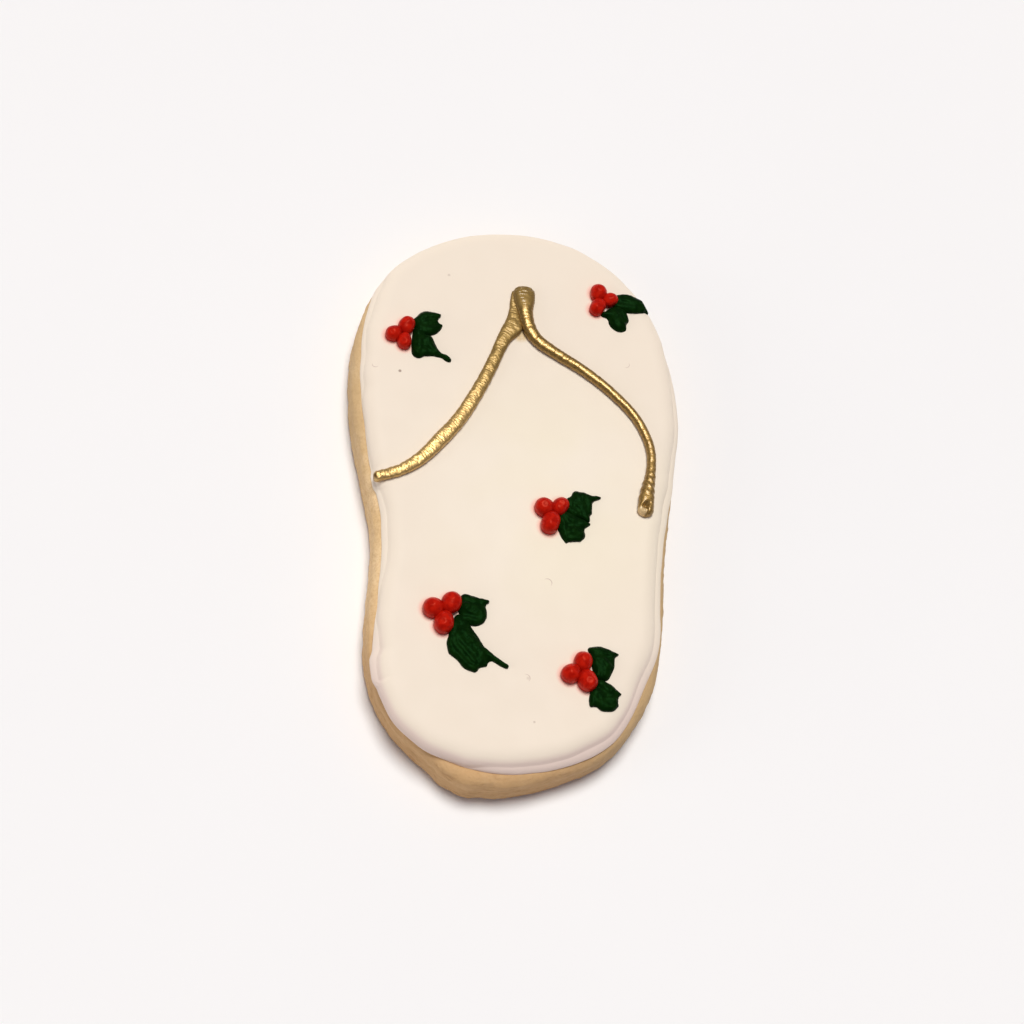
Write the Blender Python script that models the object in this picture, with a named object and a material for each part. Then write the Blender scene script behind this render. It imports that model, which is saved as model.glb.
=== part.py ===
"""Iced sugar cookie cut to the shape of a flip-flop sandal.

A rolled biscuit carries a flood of white icing. On the icing lie two gold piped straps that
meet at the toe, and five holly sprigs of red piped berries and green pulled leaves.
Everything is laid out in millimetres, seen from above with the toe towards +Y, and is
turned into metres where a mesh is made. Z is zero under the biscuit.
"""

import math

import bmesh
import bpy
import numpy as np
from mathutils import Matrix, Vector
from mathutils.bvhtree import BVHTree

MM = 0.001
NAME = "iced_sugar_cookie"
GAP = 0.3  # clear space kept between pieces that touch
SHARP_ANGLE = 50  # degrees between faces, above which an edge is drawn sharp
EMPTY_SIZE = 3.0

# The biscuit: rolled dough a quarter inch thick, its upper rim rounded in the oven.
BISCUIT_THICKNESS = 6.5
BISCUIT_TOP_ROUND = 1.3
BISCUIT_TOP_SEGMENTS = 4
BISCUIT_FOOT_ROUND = 0.5
BISCUIT_FOOT_SEGMENTS = 2
RIM_TOLERANCE = 1e-6  # how level an edge is that belongs to a rim
POINTS_PER_LANDMARK = 5

# Landmarks round the edge, anticlockwise from the toe: x, y, how far the icing stops short
# of the edge there, and the width of the thin lip round the foot of the icing.
OUTLINE = {
    "toe": (0.8, 50.9, 0.9, 0.3),
    "toe_left": (-14.0, 47.3, 0.65, 0.3),
    "ball_left_front": (-24.9, 36.7, 0.35, 0.3),
    "ball_left": (-28.4, 20.7, 1.5, 0.3),
    "arch_left": (-25.6, 2.1, 1.25, 0.5),
    "waist_left": (-23.0, -8.8, 1.1, 1.0),
    "heel_left_front": (-23.3, -23.8, 1.3, 0.5),
    "heel_left": (-23.1, -30.8, 0.75, 1.3),
    "heel_left_back": (-21.0, -38.1, 0.2, 0.3),
    "heel_left_corner": (-15.5, -44.9, 0.0, 0.3),
    "heel_tip": (-6.8, -50.7, 2.4, 0.6),
    "heel": (3.4, -50.0, 1.5, 1.2),
    "heel_right_corner": (14.4, -45.3, 1.0, 1.3),
    "heel_right_back": (19.7, -39.7, 1.0, 1.3),
    "heel_right": (23.4, -32.7, 1.75, 1.3),
    "heel_right_front": (25.0, -24.0, 0.4, 1.3),
    "waist_right": (25.7, -10.9, 0.4, 1.3),
    "arch_right": (26.5, -1.0, 0.3, 1.2),
    "ball_right": (28.2, 19.0, 0.4, 1.0),
    "ball_right_front": (23.5, 37.1, 0.7, 0.3),
    "toe_right": (13.6, 47.4, 0.9, 0.3),
}

# The icing's edge, from the foot up and in: share of the lip's width, further inset, height.
ICING_SECTION = (
    (0.0, 0.35, 0.0),
    (0.0, 0.0, 0.3),
    (0.0, 0.1, 0.65),
    (0.3, 0.2, 0.85),
    (0.8, 0.2, 0.85),
    (1.0, 0.35, 1.05),
    (1.0, 0.9, 1.5),
    (1.0, 2.1, 1.9),
    (1.0, 4.4, 2.1),
)
LIP_TOP = 0.85
PROBE_HEIGHT = 100.0  # from where the icing's upper side is looked for

# The straps' routes, toe first: x, y, half width.
STRAP_LEFT = (
    (-1.9, 34.9, 0.35),
    (-1.9, 32.2, 0.7),
    (-2.5, 29.4, 1.05),
    (-3.6, 25.8, 1.1),
    (-5.2, 21.4, 1.1),
    (-7.4, 16.3, 1.15),
    (-10.0, 11.3, 1.2),
    (-13.1, 6.9, 1.25),
    (-16.4, 2.9, 1.1),
    (-19.9, 0.3, 0.95),
    (-23.4, -0.9, 0.9),
)
STRAP_RIGHT = (
    (0.25, 38.2, 1.85),
    (0.3, 36.2, 1.9),
    (0.5, 33.4, 1.3),
    (1.0, 30.7, 1.15),
    (2.6, 27.9, 1.05),
    (5.9, 25.7, 0.95),
    (10.6, 23.1, 0.85),
    (15.3, 19.7, 0.8),
    (19.8, 15.1, 0.75),
    (22.3, 9.8, 0.75),
    (22.4, 5.0, 0.8),
    (21.7, 1.2, 1.15),
    (21.3, -3.3, 1.45),
)
STRAP_FLATTEST = 0.4  # height of a strap of no width
STRAP_RISE = 0.7  # height gained for each millimetre of half width
STRAP_TALLEST = 1.3
STRAP_STEP = 1.15
STRAP_POINTS_PER_PLACE = 12
STRAP_END_STEPS = (0.0, 0.15, 0.5)  # places in a rounded end, as shares of the half width
STRAP_END_SIZE = 0.3  # size of the end's last section, as a share of the full one
# Half a strap's section from its middle out: shares of the half width and of the height.
STRAP_SECTION = ((0.0, 0.0), (0.85, 0.0), (1.0, 0.35), (0.72, 0.82), (0.0, 1.0))

# Each sprig: its place, its berries (x, y, radius) and its leaves (x, y, half length,
# half width, heading in degrees, tips), all from the sprig's place. A tip is a point pulled
# out of the leaf's oval: bearing in degrees, reach and the spread of its root in degrees.
SPRIGS = {
    "sprig_ball_left": (
        (-19.0, 26.5),
        ((-2.9, -0.7, 1.2), (-0.5, 1.5, 1.25), (-0.8, -2.1, 1.1)),
        {
            "leaf_front": (
                (3.5, 2.4, 2.2, 1.7, 110),
                ((174, 0.85, 45), (-6, 0.25, 25), (-90, 0.5, 35), (50, 0.85, 40)),
            ),
            "leaf_back": (
                (4.1, -2.8, 1.4, 0.9, 148),
                ((135, 3.2, 63), (-28, 2.4, 33), (-149, 1.3, 31), (-176, 2.9, 63)),
            ),
        },
    ),
    "sprig_toe_right": (
        (14.5, 36.5),
        ((-1.2, 2.3, 1.3), (1.1, 1.1, 1.1), (-1.5, -1.1, 1.15)),
        {
            "leaf_front": (
                (4.5, 0.6, 1.7, 1.4, -94),
                ((-15, 0.8, 12), (147, 1.6, 63), (-177, 1.2, 41), (-25, 1.7, 63)),
            ),
            "leaf_back": (
                (2.4, -2.5, 2.3, 1.8, -85),
                ((154, 1.2, 42), (171, 1.2, 16), (-48, 0.5, 63), (63, 0.2, 14)),
            ),
        },
    ),
    "sprig_middle": (
        (6.0, -4.5),
        ((-1.8, 1.0, 1.4), (1.2, 1.7, 1.2), (-0.7, -2.2, 1.4)),
        {
            "leaf_front": (
                (4.6, 2.4, 2.4, 1.8, 103),
                ((-69, 1.1, 46), (164, 0.4, 28), (24, 1.8, 36), (-145, 0.5, 63)),
            ),
            "leaf_back": (
                (3.1, -2.1, 2.6, 1.8, 119),
                ((105, 0.5, 35), (15, 1.3, 60), (-109, 0.9, 36), (-160, 0.8, 63)),
            ),
        },
    ),
    "sprig_heel_left": (
        (-11.5, -24.0),
        ((-1.9, 0.8, 1.5), (1.2, 2.1, 1.5), (0.0, -1.9, 1.45)),
        {
            "leaf_front": (
                (4.7, 1.2, 2.4, 2.1, -56),
                ((119, 0.7, 46), (-99, 0.4, 23), (-83, 0.6, 48), (35, 0.8, 35)),
            ),
            "leaf_back": (
                (3.6, -3.8, 3.7, 1.8, 129),
                ((100, 1.2, 35), (-33, 5.2, 17), (-77, 3.1, 63), (-140, 2.3, 63)),
            ),
        },
    ),
    "sprig_heel_right": (
        (10.5, -32.0),
        ((-1.6, -0.3, 1.4), (0.5, 2.2, 1.35), (1.3, -1.4, 1.45)),
        {
            "leaf_front": (
                (3.9, 2.2, 2.4, 1.8, -74),
                ((-78, 0.3, 41), (137, 1.2, 55), (35, 1.3, 31), (-101, 0.4, 52)),
            ),
            "leaf_back": (
                (4.1, -3.7, 2.4, 2.2, -55),
                ((94, 0.8, 63), (19, 0.8, 28), (-153, 0.3, 21), (-168, 0.3, 43)),
            ),
        },
    ),
}
LEAF_SPOKES = 28
LEAF_HEIGHT = 1.1
# A leaf's skin from under its middle, round its edge, to its crown: size, share of the height.
LEAF_SECTION = ((0.5, 0.0), (0.94, 0.0), (1.0, 0.3), (0.75, 0.8), (0.35, 1.0))
BERRY_SEGMENTS = 10
BERRY_RINGS = 8
BERRY_FOOT = 0.45  # depth of the flat foot below the middle, as a share of the radius
BERRY_PEAK = 0.12  # small point that the piping tip leaves on top
SEARCH_STEP = 0.05

# name: linear base colour, roughness, metallic
MATERIALS = {
    "biscuit": ((0.62, 0.42, 0.20), 0.85, 0.0),
    "white_icing": ((0.90, 0.79, 0.64), 0.5, 0.0),
    "gold_icing": ((0.47, 0.32, 0.12), 0.35, 0.9),
    "red_icing": ((0.40, 0.02, 0.006), 0.4, 0.0),
    "green_icing": ((0.01, 0.035, 0.008), 0.45, 0.0),
}


def clear_scene():
    for item in list(bpy.data.objects):
        bpy.data.objects.remove(item, do_unlink=True)


def make_material(name):
    colour, roughness, metallic = MATERIALS[name]
    material = bpy.data.materials.new(name)
    material.use_nodes = True
    shader = material.node_tree.nodes["Principled BSDF"]
    shader.inputs["Base Color"].default_value = (*colour, 1.0)
    shader.inputs["Roughness"].default_value = roughness
    shader.inputs["Metallic"].default_value = metallic
    material.diffuse_color = (*colour, 1.0)
    return material


def add_object(name, bm, material, parent, origin=(0.0, 0.0, 0.0)):
    """Makes an object of a mesh given in millimetres, with its own origin at a place there."""
    bmesh.ops.recalc_face_normals(bm, faces=bm.faces)
    bm.transform(Matrix.Scale(MM, 4) @ Matrix.Translation(-Vector(origin)))
    mesh = bpy.data.meshes.new(name)
    bm.to_mesh(mesh)
    bm.free()
    mesh.shade_smooth()
    mesh.set_sharp_from_angle(angle=math.radians(SHARP_ANGLE))
    mesh.materials.append(material)
    item = bpy.data.objects.new(name, mesh)
    item.parent = parent
    item.location = Vector(origin) * MM - parent.matrix_world.translation
    parent.users_collection[0].objects.link(item)
    return item


def add_empty(name, collection, location, parent=None):
    empty = bpy.data.objects.new(name, None)
    empty.empty_display_size = EMPTY_SIZE * MM
    empty.location = Vector(location) * MM
    empty.parent = parent
    collection.objects.link(empty)
    bpy.context.view_layer.update()
    return empty


def smooth(rows, steps, closed=False):
    """Rows of numbers along a Catmull-Rom curve through the given rows."""
    rows = np.asarray(rows, float)
    if closed:
        padded = np.vstack((rows[-1:], rows, rows[:2]))
    else:
        padded = np.vstack((2 * rows[0] - rows[1], rows, 2 * rows[-1] - rows[-2]))
    share = np.arange(steps)[:, None] / steps
    spans = []
    for before, start, end, after in zip(padded, padded[1:], padded[2:], padded[3:]):
        slope = end - before
        square = 2 * before - 5 * start + 4 * end - after
        cube = 3 * start - before - 3 * end + after
        spans.append(start + 0.5 * (slope * share + square * share**2 + cube * share**3))
    return np.vstack(spans if closed else (*spans, rows[-1:]))


def outward(points):
    """Unit normals of a closed loop that runs anticlockwise."""
    along = np.roll(points, -1, axis=0) - np.roll(points, 1, axis=0)
    across = np.column_stack((along[:, 1], -along[:, 0]))
    return across / np.linalg.norm(across, axis=1)[:, None]


def loft(rings):
    """A closed mesh through rings of equal counts, with a face over each end."""
    bm = bmesh.new()
    loops = [[bm.verts.new(point) for point in ring] for ring in rings]
    for lower, upper in zip(loops, loops[1:]):
        for i in range(len(lower)):
            bm.faces.new((lower[i - 1], lower[i], upper[i], upper[i - 1]))
    bm.faces.new(loops[0])
    bm.faces.new(loops[-1])
    return bm


def biscuit_outline():
    """Points round the biscuit, centred on the origin, with the icing's margin and lip."""
    rows = smooth(list(OUTLINE.values()), POINTS_PER_LANDMARK, closed=True)
    edge = rows[:, :2]
    edge -= (edge.min(axis=0) + edge.max(axis=0)) / 2
    return edge, rows[:, 2], rows[:, 3]


def round_rim(bm, height, radius, segments):
    rim = [
        edge
        for edge in bm.edges
        if all(abs(vert.co.z - height) < RIM_TOLERANCE for vert in edge.verts)
    ]
    bmesh.ops.bevel(bm, geom=rim, offset=radius, segments=segments, profile=0.5, affect="EDGES")


def make_biscuit(edge):
    """The outline raised to the dough's thickness, with both rims rounded."""
    bm = bmesh.new()
    foot = bm.faces.new([bm.verts.new((x, y, 0.0)) for x, y in edge])
    walls = bmesh.ops.extrude_face_region(bm, geom=[foot], use_keep_orig=True)
    raised = [item for item in walls["geom"] if isinstance(item, bmesh.types.BMVert)]
    bmesh.ops.translate(bm, verts=raised, vec=(0.0, 0.0, BISCUIT_THICKNESS))
    round_rim(bm, BISCUIT_THICKNESS, BISCUIT_TOP_ROUND, BISCUIT_TOP_SEGMENTS)
    round_rim(bm, 0.0, BISCUIT_FOOT_ROUND, BISCUIT_FOOT_SEGMENTS)
    return bm


def make_icing(edge, margin, lip):
    """The flood of icing: its edge section carried round the outline, inside the margin."""
    normal = outward(edge)
    foot = BISCUIT_THICKNESS + GAP
    rings = []
    for lip_share, inset, height in ICING_SECTION:
        depth = margin + lip_share * lip + inset
        ring = edge - normal * depth[:, None]
        rings.append([(x, y, foot + height) for x, y in ring])
    return loft(rings)


class Surface:
    """The upper side of the icing, on which everything else is laid."""

    def __init__(self, bm):
        self.tree = BVHTree.FromBMesh(bm)

    def rest(self, x, y):
        """The height at which a piece lies at x, y: just above the icing, or above its lip."""
        hit = self.tree.ray_cast(Vector((x, y, PROBE_HEIGHT)), Vector((0.0, 0.0, -1.0)))[0]
        top = hit.z if hit else BISCUIT_THICKNESS + GAP + LIP_TOP
        return top + GAP


def strap_places(route):
    """Rows x, y, half width and size at even steps along the route, closer in its round ends."""
    fine = smooth(route, STRAP_POINTS_PER_PLACE)
    lengths = np.linalg.norm(np.diff(fine[:, :2], axis=0), axis=1)
    travelled = np.concatenate(([0.0], np.cumsum(lengths)))
    start_round, end_round = fine[0, 2], fine[-1, 2]
    length = travelled[-1]
    steps = int((length - start_round - end_round) / STRAP_STEP)
    even = np.linspace(start_round, length - end_round, steps)
    starts = np.array(STRAP_END_STEPS) * start_round
    ends = length - np.array(STRAP_END_STEPS[::-1]) * end_round
    places = np.concatenate((starts, even, ends))
    rows = [np.interp(places, travelled, column) for column in fine.T]
    near = np.minimum(places / start_round, (length - places) / end_round)
    roundness = np.sqrt(1 - (1 - np.clip(near, 0, 1)) ** 2)
    size = STRAP_END_SIZE + (1 - STRAP_END_SIZE) * roundness
    return np.column_stack((*rows, size))


def make_strap(route, surface):
    """A piped line: a low rounded section that narrows and widens along its route."""
    rows = strap_places(route)
    along = np.gradient(rows[:, :2], axis=0)
    along /= np.linalg.norm(along, axis=1)[:, None]
    mirrored = [(-side, rise) for side, rise in STRAP_SECTION[-2:0:-1]]
    section = (*STRAP_SECTION, *mirrored)
    rings = []
    for (x, y, half_width, size), (dx, dy) in zip(rows, along):
        full_height = min(STRAP_FLATTEST + STRAP_RISE * half_width, STRAP_TALLEST)
        ring = []
        for side, rise in section:
            offset = side * half_width * size
            px, py = x + dy * offset, y - dx * offset
            ring.append((px, py, surface.rest(px, py) + rise * full_height * size))
        rings.append(ring)
    return loft(rings)


def make_berry(x, y, radius, surface):
    """A piped dot: a ball on a flat foot, with a small point on top."""
    bm = bmesh.new()
    bmesh.ops.create_uvsphere(
        bm, u_segments=BERRY_SEGMENTS, v_segments=BERRY_RINGS, radius=radius
    )
    max(bm.verts, key=lambda vert: vert.co.z).co.z += BERRY_PEAK
    foot = -BERRY_FOOT * radius
    cut = bmesh.ops.bisect_plane(
        bm,
        geom=[*bm.verts, *bm.edges, *bm.faces],
        plane_co=(0.0, 0.0, foot),
        plane_no=(0.0, 0.0, -1.0),
        clear_outer=True,
    )
    rim = [item for item in cut["geom_cut"] if isinstance(item, bmesh.types.BMEdge)]
    bmesh.ops.contextual_create(bm, geom=rim)
    bmesh.ops.translate(bm, verts=bm.verts, vec=(x, y, surface.rest(x, y) - foot))
    return bm


def turn_between(first, second):
    """The size of the angle between two bearings, in degrees."""
    return abs((first - second + 180) % 360 - 180)


class Leaf:
    """A leaf's plan: an oval with tips pulled out of it, as reaches from its middle."""

    def __init__(self, place, oval, tips):
        self.x, self.y = place[0] + oval[0], place[1] + oval[1]
        self.half_length, self.half_width, self.heading = oval[2:]
        self.tips = tips

    def reach(self, bearing):
        turn = math.radians(bearing - self.heading)
        across = math.hypot(self.half_width * math.cos(turn), self.half_length * math.sin(turn))
        reach = self.half_length * self.half_width / across
        for tip, pull, spread in self.tips:
            root = max(0.0, 1 - turn_between(bearing, tip) / spread)
            reach += pull * root**2
        return reach

    def clearance(self, x, y):
        """About how far a place is outside the leaf's edge."""
        bearing = math.degrees(math.atan2(y - self.y, x - self.x))
        return math.hypot(x - self.x, y - self.y) - self.reach(bearing)

    def outline(self, berries, leaves):
        """Offsets round the edge, stopped where they come near a berry or another leaf."""
        bearings = [360 * i / LEAF_SPOKES for i in range(LEAF_SPOKES)]
        for tip, _, _ in self.tips:
            nearest = min(range(LEAF_SPOKES), key=lambda i: turn_between(bearings[i], tip))
            bearings[nearest] = tip % 360
        offsets = []
        for bearing in sorted(bearings):
            dx, dy = math.cos(math.radians(bearing)), math.sin(math.radians(bearing))
            reach, limit = 0.0, self.reach(bearing)
            while reach + SEARCH_STEP < limit:
                x = self.x + dx * (reach + SEARCH_STEP)
                y = self.y + dy * (reach + SEARCH_STEP)
                room = [math.hypot(x - bx, y - by) - radius for bx, by, radius in berries]
                room += [leaf.clearance(x, y) for leaf in leaves]
                if min(room) < GAP:
                    break
                reach += SEARCH_STEP
            offsets.append((dx * reach, dy * reach))
        return offsets


def make_leaf(leaf, berries, leaves, surface):
    """A leaf draped on the icing, thin at its edge and domed towards its middle."""
    outline = leaf.outline(berries, leaves)
    rings = []
    for size, rise in LEAF_SECTION:
        ring = []
        for dx, dy in outline:
            x, y = leaf.x + dx * size, leaf.y + dy * size
            ring.append((x, y, surface.rest(x, y) + rise * LEAF_HEIGHT))
        rings.append(ring)
    return loft(rings)


def add_sprig(name, sprig, root, surface, materials):
    place, berries, leaves = sprig
    height = surface.rest(*place)
    stem = add_empty(name, root.users_collection[0], (*place, height), root)
    placed = [(place[0] + x, place[1] + y, radius) for x, y, radius in berries]
    for number, (x, y, radius) in enumerate(placed, 1):
        berry = make_berry(x, y, radius, surface)
        origin = (x, y, surface.rest(x, y))
        add_object(f"{name}_berry_{number}", berry, materials["red_icing"], stem, origin)
    done = []
    for leaf_name, (oval, tips) in leaves.items():
        leaf = Leaf(place, oval, tips)
        mesh = make_leaf(leaf, placed, done, surface)
        done.append(leaf)
        origin = (leaf.x, leaf.y, surface.rest(leaf.x, leaf.y))
        add_object(f"{name}_{leaf_name}", mesh, materials["green_icing"], stem, origin)


def main():
    clear_scene()
    collection = bpy.data.collections.new(NAME)
    bpy.context.scene.collection.children.link(collection)
    materials = {name: make_material(name) for name in MATERIALS}
    root = add_empty(NAME, collection, (0.0, 0.0, 0.0))
    edge, margin, lip = biscuit_outline()
    add_object("biscuit", make_biscuit(edge), materials["biscuit"], root)
    icing = make_icing(edge, margin, lip)
    surface = Surface(icing)
    add_object("flood_icing", icing, materials["white_icing"], root)
    for name, route in (("strap_left", STRAP_LEFT), ("strap_right", STRAP_RIGHT)):
        add_object(name, make_strap(route, surface), materials["gold_icing"], root)
    for name, sprig in SPRIGS.items():
        add_sprig(name, sprig, root, surface, materials)


main()
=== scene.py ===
"""The looks of the iced sugar cookie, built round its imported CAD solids.

Sizes and places are read off the solids with rays. Shapes are worked out in millimetres, seen
from above with the toe towards +Y, and are turned into metres where a mesh is made.
"""

import math

import bmesh
import bpy
import numpy as np
from mathutils import Matrix, Vector
from mathutils.bvhtree import BVHTree


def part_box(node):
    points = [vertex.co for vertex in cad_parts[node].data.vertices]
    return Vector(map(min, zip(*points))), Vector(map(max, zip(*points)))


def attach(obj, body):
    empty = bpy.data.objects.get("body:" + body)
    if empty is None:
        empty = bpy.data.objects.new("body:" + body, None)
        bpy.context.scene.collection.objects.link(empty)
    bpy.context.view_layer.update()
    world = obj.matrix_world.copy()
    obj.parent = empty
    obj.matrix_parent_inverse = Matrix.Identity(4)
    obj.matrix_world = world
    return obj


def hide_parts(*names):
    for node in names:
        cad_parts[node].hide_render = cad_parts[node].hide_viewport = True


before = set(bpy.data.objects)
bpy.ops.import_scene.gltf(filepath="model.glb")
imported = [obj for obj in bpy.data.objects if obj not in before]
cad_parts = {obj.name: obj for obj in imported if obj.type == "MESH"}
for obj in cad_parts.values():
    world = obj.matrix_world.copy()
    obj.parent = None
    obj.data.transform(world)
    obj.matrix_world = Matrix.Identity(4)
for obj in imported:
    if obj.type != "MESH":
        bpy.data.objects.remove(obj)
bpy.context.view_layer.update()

MM = 0.001
PROBE_HEIGHT = 100.0  # from where upper sides are looked for
DOWN = Vector((0.0, 0.0, -1.0))
UP = Vector((0.0, 0.0, 1.0))

# The biscuit: its wall from the foot up, as the height's share and how far it stands back
# from the widest line, in millimetres.
BISCUIT_COLUMNS = 1300
BISCUIT_SCAN_HEIGHT = 3.0
BISCUIT_WALL = (
    (0.0, 0.55),
    (0.02, 0.25),
    (0.06, 0.08),
    (0.14, 0.0),
    (0.3, 0.03),
    (0.42, 0.14),
    (0.5, 0.24),
    (0.57, 0.1),
    (0.68, 0.02),
    (0.8, 0.12),
    (0.9, 0.42),
    (0.96, 0.8),
    (1.0, 1.4),
)
BISCUIT_WALL_ROWS = 44
BISCUIT_TOP_INSETS = (1.9, 2.6, 4.0, 8.0)
BISCUIT_FOOT_INSETS = (8.0, 3.0, 1.2, 0.8)

# The icing: its edge is a thin lip, with the dome rising behind it in a soft arc.
ICING_COLUMNS = 840
ICING_SINK = 0.08  # how far it reaches into what lies under it
LIP_RISE = 1.0
LIP_FALL = 1.4
LIP_ROUND = 0.6
LIP_NONE, LIP_FULL = 0.2, 0.85  # the solid's lip widths with no lip and with a whole one
LIP_BLEND = 0.25
DOME_WIDTH = 2.8
DOME_WIDTH_AT_HEEL = 3.5
DOME_FALL = 2.3
DOME_ROUND = 0.46
DOME_UNDER_LIP = 0.25  # how far the dome's foot reaches under the lip
ICING_RIM_DEPTH = 2.0
ICING_RIM_STEPS = 46
ICING_MIDDLE_RINGS = 44
ICING_WAVE = 0.035

# Stretches of the icing's edge that the solid leaves plain, as a place on the edge, how far
# the change reaches along it, and the lip's width or what is taken off the edge there.
LIP_STRETCHES = (
    (-22.6, 31.0, 10.0, 0.82),
    (-25.6, 21.5, 11.0, 0.82),
    (-21.5, -33.8, 3.4, 0.9),
)
TUCK_STRETCHES = (
    (19.5, -12.0, 17.0, 0.6),
    (-21.5, -33.4, 3.4, -0.45),
    (-24.0, -1.0, 2.2, -0.3),
)

# The same for the biscuit: it runs out to a blunt corner at the heel.
BISCUIT_STRETCHES = ((-7.8, -49.5, 4.5, -0.4),)

SEED = 11


def ripple(points, size, seed):
    """Smooth random values from -1 to 1 at points, with bumps of about that size."""
    side = 48
    lattice = np.random.default_rng(SEED + seed).uniform(-1, 1, (side, side, side))
    places = np.asarray(points, float) / size + side / 2
    whole = np.floor(places).astype(int)
    share = places - whole
    share = share * share * (3 - 2 * share)
    total = np.zeros(len(places))
    for dx in (0, 1):
        for dy in (0, 1):
            for dz in (0, 1):
                corner = (whole + (dx, dy, dz)) % side
                weight = np.abs(1 - np.array((dx, dy, dz)) - share).prod(axis=1)
                total += weight * lattice[corner[:, 0], corner[:, 1], corner[:, 2]]
    return 1.6 * total


def smoothstep(low, high, values):
    share = np.clip((values - low) / (high - low), 0, 1)
    return share * share * (3 - 2 * share)


def blur(values, width, closed):
    """Rows of numbers, each mixed with its neighbours over about that many places."""
    reach = int(3 * width)
    weights = np.exp(-0.5 * (np.arange(-reach, reach + 1) / width) ** 2)
    weights /= weights.sum()
    rows = np.asarray(values, float).reshape(len(values), -1)
    if closed:
        padded = np.vstack((rows[-reach:], rows, rows[:reach]))
    else:
        before = 2 * rows[0] - rows[reach:0:-1]
        after = 2 * rows[-1] - rows[-2 : -reach - 2 : -1]
        padded = np.vstack((before, rows, after))
    mixed = [np.convolve(column, weights, "valid") for column in padded.T]
    return np.column_stack(mixed).reshape(np.shape(values))


def even(rows, count, closed):
    """The rows again, count of them, at even steps along the line that their x and y make."""
    rows = np.vstack((rows, rows[:1])) if closed else rows
    steps = np.linalg.norm(np.diff(rows[:, :2], axis=0), axis=1)
    travelled = np.concatenate(([0.0], np.cumsum(steps)))
    places = np.linspace(0, travelled[-1], count, endpoint=not closed)
    return np.column_stack([np.interp(places, travelled, column) for column in rows.T])


def outward(loop):
    """Unit normals of a closed loop that runs anticlockwise."""
    along = np.roll(loop, -1, axis=0) - np.roll(loop, 1, axis=0)
    across = np.column_stack((along[:, 1], -along[:, 0]))
    return across / np.linalg.norm(across, axis=1)[:, None]


class Skin:
    """A mesh's surface in millimetres, to be measured with rays."""

    def __init__(self, mesh):
        self.points = np.array([vert.co for vert in mesh.vertices]) / MM
        faces = [tuple(face.vertices) for face in mesh.polygons]
        self.tree = BVHTree.FromPolygons(self.points.tolist(), faces)

    def reach(self, start, direction):
        """How far it is from a place to the surface, or None where the ray meets nothing."""
        return self.tree.ray_cast(Vector(start), Vector(direction))[3]

    def top(self, x, y, default=0.0):
        gap = self.reach((x, y, PROBE_HEIGHT), DOWN)
        return default if gap is None else PROBE_HEIGHT - gap

    def bottom(self, x, y):
        return self.reach((x, y, -PROBE_HEIGHT), UP) - PROBE_HEIGHT


def cad_skin(node):
    return Skin(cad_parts[node].data)


def scan(skin, height, count):
    """A closed loop of even steps round a solid at that height."""
    loop = []
    for i in range(count):
        bearing = 2 * math.pi * i / count
        direction = (math.cos(bearing), math.sin(bearing), 0.0)
        gap = skin.reach((0.0, 0.0, height), direction)
        loop.append((direction[0] * gap, direction[1] * gap))
    return even(np.array(loop), count, closed=True)


def make_mesh(name, points, faces):
    """A smooth-shaded mesh object of points in millimetres, linked to the scene."""
    mesh = bpy.data.meshes.new(name)
    mesh.from_pydata((np.asarray(points) * MM).tolist(), [], faces)
    mesh.validate()
    mesh.shade_smooth()
    item = bpy.data.objects.new(name, mesh)
    bpy.context.scene.collection.objects.link(item)
    return item


def loft(name, rings):
    """An object with a skin through rings of equal counts, and a face over each end."""
    rings = np.asarray(rings)
    count = rings.shape[1]
    column = np.arange(count)
    following = np.roll(column, -1)
    faces = []
    for row in range(len(rings) - 1):
        low, high = row * count, (row + 1) * count
        quads = (low + column, low + following, high + following, high + column)
        faces += np.column_stack(quads).tolist()
    faces.append(column[::-1].tolist())
    faces.append((column + (len(rings) - 1) * count).tolist())
    return make_mesh(name, rings.reshape(-1, 3), faces)


def dress(item, material, slot, *nodes):
    """Gives a piece its material, hangs it from the root body, and hides the CAD nodes it stands for."""
    item.data.materials.append(material)
    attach(item, "root")
    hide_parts(*nodes)


# ---------------------------------------------------------------- materials


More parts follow.
